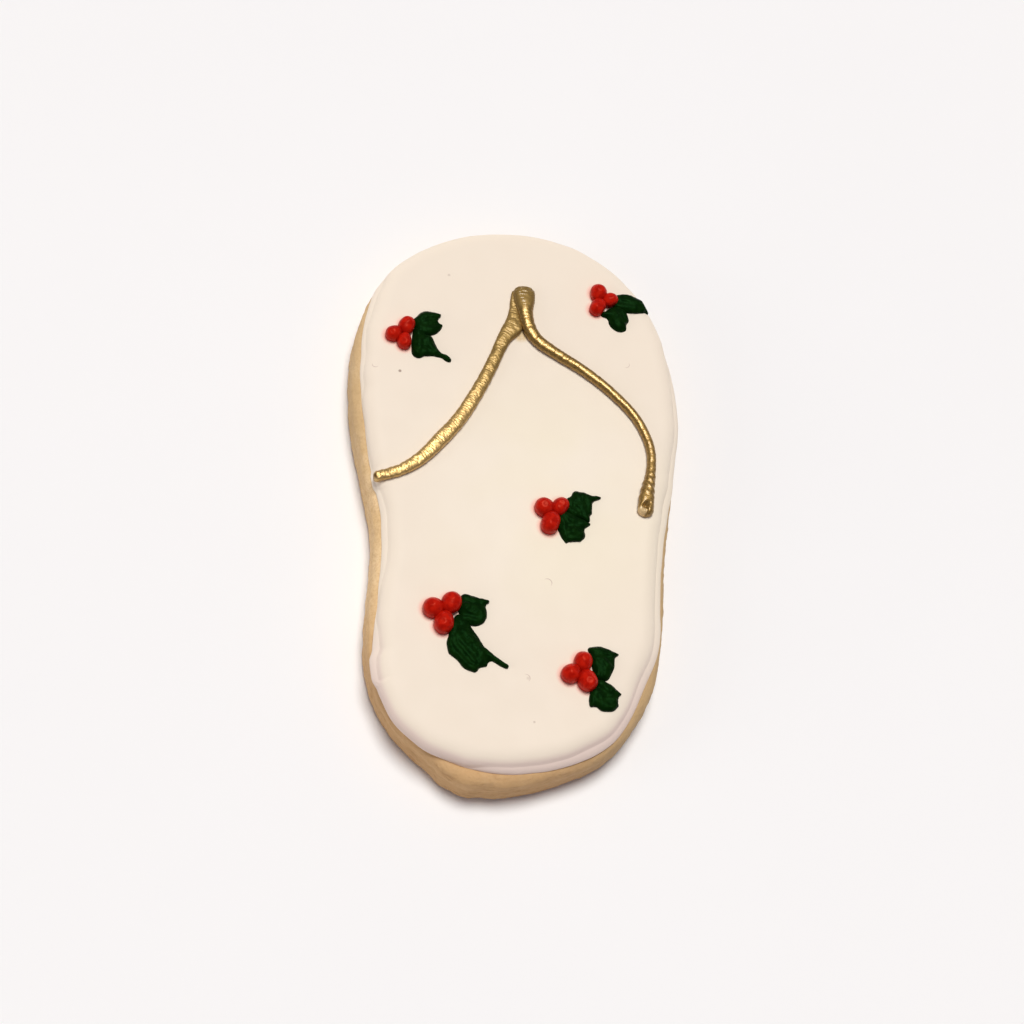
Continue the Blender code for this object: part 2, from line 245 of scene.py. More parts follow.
class Shades:
    """A material's nodes, added by short calls that set or link their inputs."""

    def __init__(self, name):
        self.material = bpy.data.materials.new(name)
        self.material.use_nodes = True
        self.tree = self.material.node_tree
        self.shader = self.tree.nodes["Principled BSDF"]
        self.place = self.add("ShaderNodeTexCoord").outputs["Object"]

    def add(self, kind, settings=None, **inputs):
        node = self.tree.nodes.new(kind)
        for name, value in (settings or {}).items():
            setattr(node, name, value)
        for name, value in inputs.items():
            self.set(node, name.replace("_", " "), value)
        return node

    def set(self, node, name, value):
        socket = node.inputs[int(name)] if name.isdigit() else node.inputs[name]
        if isinstance(value, bpy.types.NodeSocket):
            self.tree.links.new(value, socket)
        else:
            socket.default_value = value

    def finish(self, name, value):
        self.set(self.shader, name, value)

    def noise(self, size, detail=2.0, roughness=0.5, squash=(1.0, 1.0, 1.0)):
        """Soft random values around 0.5, with patches of about that size in millimetres."""
        place = self.add("ShaderNodeVectorMath", {"operation": "MULTIPLY"})
        self.set(place, "0", self.place)
        self.set(place, "1", squash)
        node = self.add(
            "ShaderNodeTexNoise", Vector=place.outputs[0], Scale=1 / (size * MM), Detail=detail
        )
        node.inputs["Roughness"].default_value = roughness
        return node.outputs["Fac"]

    def ramp(self, value, low, high, start=0.0, end=1.0):
        """The value's stretch from low to high, spread over start to end and held beyond."""
        node = self.add("ShaderNodeMapRange", {"interpolation_type": "SMOOTHSTEP"})
        for name, number in zip(("From Min", "From Max", "To Min", "To Max"), (low, high, start, end)):
            node.inputs[name].default_value = number
        self.tree.links.new(value, node.inputs["Value"])
        return node.outputs["Result"]

    def mix(self, share, first, second):
        """The first colour where share is 0, and the second where it is 1."""
        node = self.add("ShaderNodeMix", {"data_type": "RGBA"})
        for index, value in ((0, share), (6, first), (7, second)):
            self.set(node, str(index), value)
        return node.outputs[2]

    def math(self, operation, first, second):
        node = self.add("ShaderNodeMath", {"operation": operation})
        self.set(node, "0", first)
        self.set(node, "1", second)
        return node.outputs[0]

    def bump(self, height, depth, strength=1.0):
        """Relief of that depth in millimetres, on top of the relief added before."""
        before = self.shader.inputs["Normal"].links
        node = self.add("ShaderNodeBump", Height=height, Strength=strength, Distance=depth * MM)
        if before:
            self.tree.links.new(before[0].from_socket, node.inputs["Normal"])
        self.finish("Normal", node.outputs["Normal"])

    def along(self, axis):
        """The place along an axis of the cookie, in metres."""
        return self.add("ShaderNodeSeparateXYZ", Vector=self.place).outputs[axis]

    def near(self, x, y, radius, softness):
        """1 within that radius of a place on the cookie, falling to 0 past it."""
        flat = self.add(
            "ShaderNodeVectorMath",
            {"operation": "MULTIPLY"},
            **{"0": self.place, "1": (1.0, 1.0, 0.0)},
        )
        gap = self.add(
            "ShaderNodeVectorMath",
            {"operation": "DISTANCE"},
            **{"0": flat.outputs[0], "1": (x * MM, y * MM, 0.0)},
        )
        return self.ramp(gap.outputs["Value"], radius * MM, (radius + softness) * MM, 1.0, 0.0)


def colour(red, green, blue):
    """A screen colour of 0 to 255 a channel as the linear colour that a shader takes."""
    shares = [value / 255 for value in (red, green, blue)]
    linear = [s / 12.92 if s <= 0.04045 else ((s + 0.055) / 1.055) ** 2.4 for s in shares]
    return (*linear, 1.0)


GOLD_STAIN = colour(222, 192, 140)
# Darker, duller gold towards the toe and round the knob, over the stretch along Y given below: partly
# duller paint, partly painted shade.
GOLD_DULL_AND_SHADED = colour(142, 114, 57)
# A darker spot of gold at the low end of the left strap.
GOLD_DARK_TIP = colour(112, 78, 32)
# Red dye running out of the berries into the icing, partly a painted red glow of light bounced off them.
RED_RUN_AND_GLOW = colour(248, 150, 130)
GOLD_DULL_SHADE_FROM, GOLD_DULL_SHADE_TO = 8.0, 26.0
GOLD_DULL_ROUGHNESS = 0.6
GOLD_GLOSS_FROM, GOLD_GLOSS_TO = 6.0, 16.0

# Small flaws in the icing: place, radius, softness, share and colour.
ICING_MARKS = (
    (-20.3, 19.2, 0.12, 0.25, 0.7, colour(120, 84, 62)),
    (-12.7, 39.0, 0.1, 0.25, 0.35, colour(176, 150, 132)),
    (2.3, -33.4, 0.1, 0.3, 0.3, colour(186, 164, 146)),
    (3.4, -40.6, 0.08, 0.2, 0.4, colour(160, 132, 112)),
)

# Thin curved scratches, each the sliver between two discs: place, radius and the step between.
ICING_SCRATCHES = (
    (5.2, -16.7, 0.7, -0.1, -0.1),
    (2.0, -33.4, 0.6, -0.1, -0.06),
    (-24.4, 20.0, 0.5, 0.05, 0.1),
    (18.4, 25.4, 0.5, -0.08, 0.06),
)


def biscuit_material():
    shades = Shades("baked_dough")
    patches = shades.ramp(shades.noise(3.5, 3.0), 0.35, 0.65)
    base = shades.mix(patches, colour(240, 208, 160), colour(230, 195, 143))
    heel = shades.ramp(shades.along("Y"), -14 * MM, -36 * MM, 0.0, 0.85)
    base = shades.mix(heel, base, colour(203, 162, 113))
    grain = shades.ramp(shades.noise(0.45, 3.0, 0.6), 0.42, 0.66)
    base = shades.mix(shades.math("MULTIPLY", grain, 0.4), base, colour(203, 160, 108))
    streaks = shades.ramp(shades.noise(2.6, 3.0, 0.6, (1.0, 1.0, 5.0)), 0.52, 0.7, 0.0, 0.55)
    base = shades.mix(shades.math("MULTIPLY", streaks, heel), base, colour(172, 126, 78))
    browned = shades.ramp(shades.along("Z"), 0.0, 1.6 * MM, 0.55, 0.0)
    base = shades.mix(browned, base, colour(186, 140, 86))
    # Darker towards the toe, and on the right side, where the darker tint is painted shade for the wall
    # turned from the lamps.
    toe = shades.ramp(shades.along("Y"), -4 * MM, 12 * MM, 0.0, 0.6)
    right = shades.ramp(shades.along("X"), 8 * MM, 20 * MM, 0.0, 0.9)
    base = shades.mix(shades.math("MAXIMUM", toe, right), base, colour(196, 164, 118))
    shades.finish("Base Color", base)
    shades.finish("Roughness", 0.82)
    shades.bump(shades.noise(0.5, 4.0, 0.6), 0.12)
    return shades.material


def icing_material(crotch, berries):
    """White icing with a few flaws, gold paint between the straps, painted shade on its slopes at the
    heel, and red dye running out of the berries with a painted red glow.
    """
    shades = Shades("white_flood_icing")
    cloud = shades.ramp(shades.noise(16.0, 1.0), 0.35, 0.65)
    base = shades.mix(cloud, colour(246, 234, 215), colour(245, 233, 210))
    warm = shades.near(6.0, -2.0, 6.0, 26.0)
    base = shades.mix(warm, colour(243, 229, 210), base)
    # Painted shade: low on the slopes towards the heel, which face away from the lamps, the white is
    # tinted a darker mauve.
    foot = shades.ramp(shades.along("Z"), 8.6 * MM, 7.8 * MM, 0.0, 0.85)
    heel = shades.ramp(shades.along("Y"), -20 * MM, -40 * MM)
    base = shades.mix(shades.math("MULTIPLY", foot, heel), base, colour(230, 208, 197))
    for x, y, radius, softness, share, tint in ICING_MARKS:
        spot = shades.math("MULTIPLY", shades.near(x, y, radius, softness), share)
        base = shades.mix(spot, base, tint)
    for x, y, radius, dx, dy in ICING_SCRATCHES:
        disc = shades.near(x, y, radius, 0.12)
        scratch = shades.math("SUBTRACT", disc, shades.near(x + dx, y + dy, radius, 0.12))
        base = shades.mix(shades.ramp(scratch, 0.0, 1.0, 0.0, 0.8), base, colour(205, 180, 165))
    x, y = crotch
    ragged = shades.ramp(shades.noise(0.9, 3.0), 0.25, 0.5)
    stain = shades.math("MULTIPLY", shades.near(x, y, 1.0, 1.2), ragged)
    base = shades.mix(shades.math("MULTIPLY", stain, 0.9), base, GOLD_STAIN)
    # A pink ring round each berry: red dye running out, and partly a painted red glow.
    red_run_and_glow = 0.0
    for (x, y, _), radius in berries:
        red_run_and_glow = shades.math("MAXIMUM", red_run_and_glow, shades.near(x, y, radius - 0.1, 1.0))
    base = shades.mix(shades.math("MULTIPLY", red_run_and_glow, 0.6), base, RED_RUN_AND_GLOW)
    shades.finish("Base Color", base)
    shades.finish("Roughness", shades.ramp(shades.noise(4.0), 0.3, 0.7, 0.55, 0.65))
    shades.finish("Specular IOR Level", 0.3)
    shades.bump(shades.noise(2.2, 2.0), 0.015)
    return shades.material


def gold_material(name, light, dark, gloss, coat, dull_and_shade, knob, spot, metallic):
    """Gold paint, duller and darker towards the knob at the toe, with a spot of another colour. The
    darkening is partly painted shade.

    gloss holds its roughness towards the heel and towards the toe, and coat the weight and
    roughness of the clear glaze that gives its glints.
    """
    shades = Shades(name)
    grain = shades.ramp(shades.noise(0.35, 3.0, 0.6), 0.35, 0.65)
    base = shades.mix(grain, light, dark)
    # Share of the darker, duller gold along Y towards the toe and round the knob: partly duller paint,
    # partly painted shade.
    dull_and_shade = shades.ramp(shades.along("Y"), GOLD_DULL_SHADE_FROM * MM, GOLD_DULL_SHADE_TO * MM, 0.0, dull_and_shade)
    dull_and_shade = shades.math("MAXIMUM", dull_and_shade, shades.near(*knob, 2.0, 4.5))
    base = shades.mix(dull_and_shade, base, GOLD_DULL_AND_SHADED)
    x, y, radius, softness, tint = spot
    spot = shades.near(x, y, radius, softness)
    base = shades.mix(shades.math("MULTIPLY", spot, 0.85), base, tint)
    shades.finish("Base Color", base)
    shades.finish("Metallic", shades.ramp(spot, 0.0, 1.0, 0.7, metallic))
    sheen = shades.ramp(shades.along("Y"), GOLD_GLOSS_FROM * MM, GOLD_GLOSS_TO * MM, *gloss)
    rough = shades.math("MULTIPLY", dull_and_shade, GOLD_DULL_ROUGHNESS)
    shades.finish("Roughness", shades.math("MAXIMUM", sheen, rough))
    shades.finish("Coat Weight", coat[0])
    shades.finish("Coat Roughness", coat[1])
    shades.bump(shades.noise(0.2, 3.0, 0.6), 0.035)
    return shades.material


def piped_material(name, light, dark, sheen, roughness, shine):
    """Coloured royal icing, with a soft sheen in its own colour."""
    shades = Shades(name)
    base = shades.mix(shades.ramp(shades.noise(0.9), 0.35, 0.65), light, dark)
    shades.finish("Base Color", base)
    shades.finish("Roughness", roughness)
    shades.finish("Specular IOR Level", shine)
    shades.finish("Specular Tint", sheen)
    shades.bump(shades.noise(0.35), 0.03)
    return shades.material


# ---------------------------------------------------------------- biscuit and icing


def make_biscuit():
    """The baked dough: a wall with a soft crease half way up and a crumbly surface."""
    skin = cad_skin("biscuit")
    loop = blur(scan(skin, BISCUIT_SCAN_HEIGHT, BISCUIT_COLUMNS), 9, closed=True)
    normal = outward(loop)
    loop -= normal * stretch(loop, BISCUIT_STRETCHES)[:, None]
    thickness = skin.points[:, 2].max()
    shares, insets = np.array(BISCUIT_WALL).T
    rows = np.linspace(0, 1, BISCUIT_WALL_ROWS)
    travelled = np.linspace(0, 1, len(shares))
    wall = np.column_stack((np.interp(rows, travelled, shares), np.interp(rows, travelled, insets)))
    wall = blur(wall, 1.2, closed=False)
    places = [(0.0, inset) for inset in BISCUIT_FOOT_INSETS]
    places += [(share * thickness, inset) for share, inset in wall]
    places += [(thickness, inset) for inset in BISCUIT_TOP_INSETS]
    rings = []
    for height, inset in places:
        ring = np.column_stack((loop - normal * inset, np.full(len(loop), height)))
        crumb = 0.05 * ripple(ring, 1.4, 1) + 0.035 * ripple(ring, 0.55, 2)
        crumb += 0.06 * ripple(ring * (1, 1, 4), 2.4, 7)
        waves = 0.12 * ripple(ring * (1, 1, 0.4), 9.0, 3)
        inside = 1 - smoothstep(1.5, 2.5, np.full(len(loop), inset))
        ring[:, :2] += normal * ((crumb + waves - 0.1) * inside)[:, None]
        rings.append(ring)
    return loft("baked_biscuit", rings)


def stretch(loop, stretches):
    """The sum of soft swells along a loop, one for each place, reach and amount."""
    total = np.zeros(len(loop))
    for x, y, reach, amount in stretches:
        gaps = np.linalg.norm(loop - (x, y), axis=1) / reach
        total += amount * (1 - smoothstep(0.45, 1.0, gaps))
    return total


def icing_rise(depth, lip, width):
    """Heights from 0 to 1 of the lip and of the dome, at a depth in from the icing's edge."""
    whole = smoothstep(LIP_NONE, LIP_FULL, lip)
    share = np.clip(depth / np.maximum(lip, LIP_NONE), 0, 1)
    bead = LIP_RISE * whole * (1 - (1 - share) ** LIP_FALL) ** LIP_ROUND
    start = whole * (lip - DOME_UNDER_LIP)
    share = np.clip((depth - start) / width, 0, 1)
    return bead, (1 - (1 - share) ** DOME_FALL) ** DOME_ROUND


def make_icing():
    """The flood of icing, from its foot on the biscuit over its lip and dome to the middle."""
    skin = cad_skin("flood_icing")
    low, high = skin.points[:, 2].min(), skin.points[:, 2].max()
    foot = cad_skin("biscuit").points[:, 2].max()
    loop = blur(scan(skin, low + 0.45, ICING_COLUMNS), 5, closed=True)
    normal = outward(loop)
    lips = []
    for (x, y), (nx, ny) in zip(loop, normal):
        gap = skin.reach((x + nx, y + ny, low + 1.05), (-nx, -ny, 0.0))
        lips.append(gap - 1.35)
    lip = blur(np.array(lips), 6, closed=True)
    for place in LIP_STRETCHES:
        lip = np.maximum(lip, stretch(loop, [place]))
    wobble = 0.07 * ripple(np.column_stack((loop, loop[:, 0] * 0)), 3.2, 4)
    loop = loop - normal * (stretch(loop, TUCK_STRETCHES) + wobble)[:, None]
    lip = lip * (1 + 0.12 * ripple(np.column_stack((loop, loop[:, 0] * 0)), 4.5, 6))
    tall = high - foot
    width = DOME_WIDTH + (DOME_WIDTH_AT_HEEL - DOME_WIDTH) * np.clip(-normal[:, 1], 0, 1)
    depths = np.concatenate(
        (
            [0.5, 0.12],
            ICING_RIM_DEPTH * np.linspace(0, 1, ICING_RIM_STEPS) ** 1.5,
            np.linspace(ICING_RIM_DEPTH, DOME_WIDTH_AT_HEEL + 2.5, ICING_RIM_STEPS // 2)[1:],
        )
    )
    rings = []
    for number, depth in enumerate(depths):
        place = loop - normal * depth
        bead, dome = icing_rise(np.full(len(loop), depth), lip, width)
        meeting = np.maximum(LIP_BLEND - abs(bead - dome * tall), 0)
        rise = np.maximum(bead, dome * tall) + meeting**2 / (4 * LIP_BLEND)
        if number < 2:
            rise = np.full(len(loop), -ICING_SINK + 0.1 * number)
        rings.append(np.column_stack((place, foot + rise)))
    last = rings[-1]
    for ring in range(1, ICING_MIDDLE_RINGS):
        size = 1 - ring / ICING_MIDDLE_RINGS
        rings.append(last * (size, size, 1))
    rings = np.array(rings)
    calm = smoothstep(0.5, 4.0, np.array([*depths, *[9.0] * (ICING_MIDDLE_RINGS - 1)]))
    for ring, share in zip(rings, calm):
        ring[:, 2] += ICING_WAVE * share * ripple(ring * (1, 1, 0), 9.0, 5)
    return loft("white_icing_flood", rings)


# ---------------------------------------------------------------- straps

STRAP_SCAN_STEP = 0.25
STRAP_ROW_STEP = 0.08
STRAP_COLUMNS = 44
STRAP_WIDEST = 0.35  # share of the height at which a strap is widest
STRAP_END_ROUND = 0.8  # length of its rounded end, as a share of its half width
STRAP_SAG = 0.2  # how far its crown follows the icing down at the cookie's edge
STRAP_HANG = 0.6  # how far its foot does
STRAP_REACH = 0.5  # how far the left one's low end runs past its solid
LEAN_REACH = 1.6  # the widest gap between the straps that the left one spreads to close
LEAN_FADE = 0.8
LEAN_OVERLAP = 0.15
LEAN_SHIFT = 0.12

# How much wider and higher than its solid each strap is, and the power that flattens its top.
STRAP_FORMS = {"strap_left": (1.0, 1.0, 0.55), "strap_right": (1.08, 1.25, 0.95)}


def course(skin):
    """Rows x, y, half width, height along the middle of a strap's solid, toe first."""
    plan = skin.points[:, :2]
    toe = plan[plan[:, 1].argmax()]
    end = plan[np.linalg.norm(plan - toe, axis=1).argmax()]
    length = np.linalg.norm(end - toe)
    chord = (end - toe) / length
    along = (plan - toe) @ chord
    stations = np.arange(0.9, length - 0.9, STRAP_SCAN_STEP)
    middle = np.array([plan[abs(along - place) < 1.2].mean(axis=0) for place in stations])
    for _ in range(3):
        middle = blur(middle, 4, closed=False)
        heading = np.gradient(middle, axis=0)
        heading /= np.linalg.norm(heading, axis=1)[:, None]
        rows = []
        for (x, y), (dx, dy) in zip(middle, heading):
            top, bottom = skin.top(x, y), skin.bottom(x, y)
            start = (x, y, bottom + STRAP_WIDEST * (top - bottom))
            right = skin.reach(start, (dy, -dx, 0.0))
            left = skin.reach(start, (-dy, dx, 0.0))
            shift = (right - left) / 2
            rows.append((x + dy * shift, y - dx * shift, (right + left) / 2, top - bottom))
        middle = np.array(rows)[:, :2]
    rows = blur(np.array(rows), 3, closed=False)
    ends = []
    for row, (dx, dy) in ((rows[0], -heading[0]), (rows[-1], heading[-1])):
        start = (row[0], row[1], skin.bottom(*row[:2]) + STRAP_WIDEST * row[3])
        gap = skin.reach(start, (dx, dy, 0.0))
        ends.append((row[0] + dx * gap, row[1] + dy * gap, row[2], row[3]))
    rows = np.vstack((ends[:1], rows, ends[1:]))
    steps = np.linalg.norm(np.diff(rows[:, :2], axis=0), axis=1).sum() / STRAP_ROW_STEP
    return even(rows, int(steps), closed=False)


def lean(rows, neighbour):
    """The rows again, spread to the right wherever a neighbouring strap is close by."""
    end = rows[-1].copy()
    end[:2] += (rows[-1, :2] - rows[-7, :2]) * STRAP_REACH / (6 * STRAP_ROW_STEP)
    end = [rows[-1] + (end - rows[-1]) * share for share in (0.2, 0.4, 0.6, 0.8, 1.0)]
    top = rows[0].copy()
    top[:2] += (0.15, 2.2)
    top[2] *= 0.7
    start = [top + (rows[0] - top) * share for share in np.arange(0, 1, STRAP_ROW_STEP / 2.2)]
    rows = np.vstack((start, rows, end))
    height = neighbour.points[:, 2].min() + 0.4
    spread = []
    for x, y, half, _ in rows:
        gap = neighbour.reach((x, y, height), (1.0, 0.0, 0.0))
        clear = PROBE_HEIGHT if gap is None else gap - half
        near = math.exp(-max(clear - LEAN_REACH, 0) / LEAN_FADE)
        spread.append((near * (max(clear, 0.0) + LEAN_OVERLAP), near * LEAN_SHIFT))
    spread, shift = blur(np.array(spread), 3, closed=False).T
    rows[:, 0] += spread / 2 + shift
    rows[:, 2] += spread / 2 - shift
    return blur(rows, 3, closed=False)


def make_strap(node, rows, surface, form, relief):
    """A piped line draped on the icing, with relief(place along, side, share up) on its skin."""
    wider, higher, flatness = form
    heading = np.gradient(rows[:, :2], axis=0)
    heading = blur(heading / np.linalg.norm(heading, axis=1)[:, None], 12, closed=False)
    travelled = np.arange(len(rows)) * STRAP_ROW_STEP
    reach = STRAP_END_ROUND * rows[[0, -1], 2]
    near = np.minimum(travelled / reach[0], (travelled[-1] - travelled) / reach[1])
    roundness = np.sqrt(1 - (1 - np.clip(near, 0.002, 1)) ** 2)
    angles = 2 * math.pi * np.arange(STRAP_COLUMNS) / STRAP_COLUMNS
    sides = np.sign(np.cos(angles)) * np.abs(np.cos(angles)) ** 0.9
    ups = np.where(
        np.sin(angles) > 0,
        STRAP_WIDEST + (1 - STRAP_WIDEST) * np.abs(np.sin(angles)) ** flatness,
        STRAP_WIDEST * (1 + 1.4 * np.sin(angles)),
    )
    crown = surface.points[:, 2].max() - STRAP_SAG
    lifted = smoothstep(0.0, 0.6, ups)
    rings = []
    for place, (x, y, half, high), (dx, dy), full in zip(travelled, rows, heading, roundness):
        ring = []
        push = relief(place, travelled[-1], sides, ups, half)
        level = max(surface.top(x, y, crown), crown)
        for side, up, extra, lift in zip(sides, ups, push, lifted):
            offset = side * (wider * half * full + extra * abs(side))
            px, py = x + dy * offset, y - dx * offset
            rise = up * higher * high * (0.3 + 0.7 * full) + extra * max(up, 0)
            under = max(surface.top(px, py, crown), crown - STRAP_HANG)
            ring.append((px, py, under + (level - under) * lift + rise))
        rings.append(ring)
    return loft(node + "_piped", rings)


def left_relief(place, length, sides, ups, half):
    """Fine wrinkles across the strap, with a few soft lumps."""
    spots = np.column_stack((np.full(len(sides), place), sides * half, ups))
    wrinkle = ripple(spots * (1, 0.4, 0.5), 0.17, 21)
    lumps = ripple(spots, 0.8, 22)
    return 0.03 * wrinkle + 0.04 * lumps


def right_relief(place, length, sides, ups, half):
    """Soft beads along the strap, a wrinkled knob, and a torn, creased hollow where it ends."""
    spots = np.column_stack((np.full(len(sides), place), sides * half, ups))
    beads = ripple(spots * (1, 0.5, 0.5), 0.55, 31)
    wrinkle = ripple(spots * (1, 0.5, 0.5), 0.2, 32)
    left = length - place
    across = sides * half
    top = smoothstep(0.4, 0.8, ups)
    knob = math.exp(-((place / 2.4) ** 2))
    fold = knob * np.exp(-(((across + 0.45 * half) / 0.14) ** 2))
    tilted = (across - 0.2 + 0.5 * (left - 1.7)) / 0.42
    hollow = np.exp(-(((left - 1.7) / 0.65) ** 2) - tilted**2)
    crease = np.exp(-(((left - 0.6) / 0.8) ** 2) - ((across + 0.05) / 0.15) ** 2)
    twisted = math.exp(-(((left - 5.5) / 2.6) ** 2))
    twist = twisted * np.sin(2 * math.pi * (place / 1.3 + 0.5 * across / half))
    grooves = 0.8 * hollow + 0.45 * crease + 0.12 * fold
    return 0.03 * beads + (0.015 + 0.05 * knob) * wrinkle + 0.05 * twist - top * grooves


# ---------------------------------------------------------------- sprigs

BERRIES = ("berry_1", "berry_2", "berry_3")
BERRY_COLUMNS, BERRY_ROWS = 64, 40
BERRY_SWELL = 1.08
BERRY_MIDDLE = 0.34  # height of its middle over its foot, as a share of its radius

LEAF_VOXEL = 0.09
LEAF_SMOOTHING = 10
LEAF_SWELL = 1.08
LEAF_CLOSING = 0.45  # strokes are piped this much fatter, and the melted skin drawn back in
LEAF_BEAD_STEP = 0.12
LEAF_SINK = 0.25

# Each leaf is piped in strokes. A stroke is its places from the middle of the leaf's solid,
# each with a radius: (x, y, radius).
LEAF_STROKES = {
    "sprig_ball_left_leaf_front": (
        ((-1.8, 0.3, 0.9), (-0.5, 1.5, 1.1), (0.7, 1.6, 0.8), (1.75, 1.95, 0.25)),
        ((-0.6, -1.2, 1.1), (0.7, -0.9, 0.9), (1.6, -0.4, 0.55), (2.15, 0.1, 0.2)),
        ((-1.8, 0.2, 0.75), (-1.4, -1.4, 1.0)),
        ((-0.8, 0.1, 0.9), (0.6, 0.4, 0.75), (1.2, 0.6, 0.4)),
    ),
    "sprig_ball_left_leaf_back": (
        ((-2.3, 2.4, 0.95), (-2.25, 0.5, 1.15), (-2.2, -1.3, 1.1)),
        ((-0.9, 1.0, 1.15), (0.1, -0.7, 0.95), (1.2, -1.4, 0.5), (1.9, -1.65, 0.22)),
        ((1.9, -1.6, 0.25), (2.3, -1.75, 0.45), (2.7, -2.0, 0.5), (3.05, -2.25, 0.35)),
        ((-1.3, -1.2, 0.75), (0.2, -1.4, 0.4)),
    ),
    "sprig_toe_right_leaf_front": (
        ((-2.3, 0.9, 0.85), (-0.9, 0.8, 1.3), (0.7, 0.4, 1.25), (2.0, -0.2, 0.65), (2.9, -0.7, 0.2)),
        ((-2.6, -0.3, 0.75), (-1.0, -0.5, 1.0), (0.6, -0.5, 0.9), (1.8, -0.7, 0.45)),
    ),
    "sprig_toe_right_leaf_back": (
        ((-2.1, 0.7, 0.45), (-0.9, 0.9, 0.8), (0.3, 0.6, 1.05)),
        ((-0.1, 1.1, 1.05), (0.3, -0.5, 1.5), (0.8, -1.2, 1.1), (1.6, -1.7, 0.3)),
        ((-1.1, 1.5, 0.5), (0.3, 1.9, 0.8), (1.2, 1.6, 0.7), (1.6, 0.2, 0.75)),
    ),
    "sprig_middle_leaf_front": (
        ((-1.3, 2.0, 0.75), (-0.9, 0.3, 1.2), (-0.2, -1.4, 0.95), (0.5, -2.3, 0.45)),
        ((-0.4, 1.6, 1.05), (0.9, 1.5, 0.6), (2.0, 1.8, 0.35), (2.6, 1.9, 0.18)),
        ((-2.3, 0.7, 0.8), (-2.4, -0.6, 0.9), (-1.5, -1.4, 0.95)),
        ((0.6, 1.0, 0.7), (0.7, -0.9, 0.6)),
    ),
    "sprig_middle_leaf_back": (
        ((-1.8, 2.2, 0.9), (-0.2, 1.0, 1.2), (1.1, 0.8, 0.9), (2.5, 1.0, 0.2)),
        ((-2.1, 1.2, 0.95), (-1.9, 0.2, 0.95), (-1.4, -1.4, 0.8), (-1.3, -2.6, 0.2)),
        ((-0.2, -0.8, 1.25), (1.0, -1.1, 0.85)),
        ((-0.9, -1.9, 0.55), (0.9, -1.8, 0.45)),
    ),
    "sprig_heel_left_leaf_front": (
        ((-1.6, 2.1, 0.65), (0.0, 1.5, 1.0), (2.15, 1.8, 0.25)),
        ((-1.2, 0.3, 1.4), (0.5, 0.0, 1.5), (1.2, -0.7, 0.85)),
        ((-1.5, -1.5, 0.8), (0.3, -1.7, 0.85), (0.9, -1.2, 0.9)),
    ),
    "sprig_heel_left_leaf_back": (
        ((-3.1, 4.4, 0.9), (-2.6, 2.5, 1.5), (-1.2, 0.8, 1.4), (0.2, -0.8, 1.1), (0.5, -2.3, 0.75)),
        ((-3.9, 3.0, 0.8), (-4.2, 1.6, 0.5), (-4.5, 0.4, 0.55), (-4.0, -0.9, 0.75)),
        ((-4.0, -0.9, 0.75), (-2.7, -2.0, 0.65), (-1.7, -3.1, 0.75), (-0.5, -3.6, 0.6)),
        ((0.4, -0.1, 0.5), (1.6, -1.1, 0.55), (3.0, -1.9, 0.48), (3.9, -2.5, 0.4), (4.6, -2.8, 0.34)),
        ((0.3, -2.7, 0.65), (1.2, -2.8, 0.35)),
        ((-3.7, 2.6, 0.8), (-3.3, 0.6, 0.8), (-2.0, -1.0, 0.75), (-0.6, -2.6, 0.75)),
    ),
    "sprig_heel_right_leaf_front": (
        ((-2.1, 2.2, 0.5), (-0.7, 1.9, 1.05), (0.8, 1.6, 0.8), (2.3, 1.8, 0.15)),
        ((-1.0, 0.8, 1.25), (0.2, -0.3, 1.4), (0.1, -1.9, 0.9)),
        ((0.9, 0.7, 0.8), (1.1, -0.4, 0.6)),
        ((-1.4, 0.2, 0.7), (-0.9, -1.1, 0.9), (-0.9, -2.0, 0.75)),
    ),
    "sprig_heel_right_leaf_back": (
        ((-0.8, 2.0, 0.75), (0.3, 1.0, 1.15), (1.5, 0.6, 0.6), (2.35, 0.6, 0.15)),
        ((-1.7, 0.6, 0.8), (-2.0, -0.9, 0.7), (-2.3, -1.6, 0.3)),
        ((-1.0, -0.2, 1.25), (-0.4, -1.5, 0.95), (0.9, -1.7, 0.7), (1.9, -1.3, 0.2)),
        ((0.4, -0.4, 0.9), (1.3, -0.6, 0.7)),
    ),
}


def solid_box(node):
    """The middle and the half size of a node's solid, in millimetres."""
    low, high = (np.array(corner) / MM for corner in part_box(node))
    return (low + high) / 2, (high - low) / 2


def berry_ball(node):
    """The middle and radius of a berry."""
    middle, half = solid_box(node)
    radius = (half[0] + half[1]) / 2
    foot = middle[2] - half[2]
    return np.array((middle[0], middle[1], foot + BERRY_MIDDLE * radius)), radius * BERRY_SWELL


